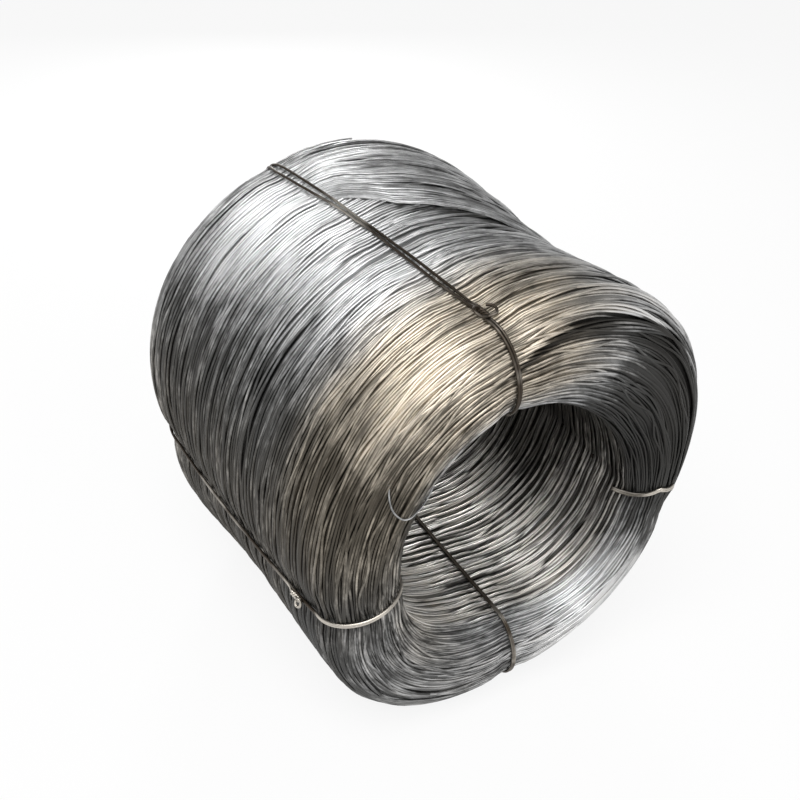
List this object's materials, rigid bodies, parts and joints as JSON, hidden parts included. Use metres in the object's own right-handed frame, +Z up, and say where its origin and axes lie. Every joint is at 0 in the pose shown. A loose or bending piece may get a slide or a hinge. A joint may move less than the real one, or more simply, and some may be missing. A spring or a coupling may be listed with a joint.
{
  "type": "coil of wire rod",
  "caption": "Coil of bare steel wire rod lying on its side, with an open bore and round ends, held by twisted wire ties that run through the bore and over the outside.",
  "frame": {"origin": "middle of the bottom of the bounding box, on the floor", "axes": "+X along the bore towards the smaller, rounder front end, +Z up"},
  "size_m": [0.875, 0.9958, 1.0524],
  "materials": {
    "rod_steel": "bare drawn and handled wire rod, grey, with brown and dark streaks between the strands",
    "tie_steel": "annealed binding wire, dark grey-brown"
  },
  "bodies": {
    "root": {"wire_coil": "rod_steel", "tie_top": "tie_steel", "tie_left": "tie_steel", "tie_right": "tie_steel", "tie_bottom": "tie_steel"}
  },
  "joints": []
}
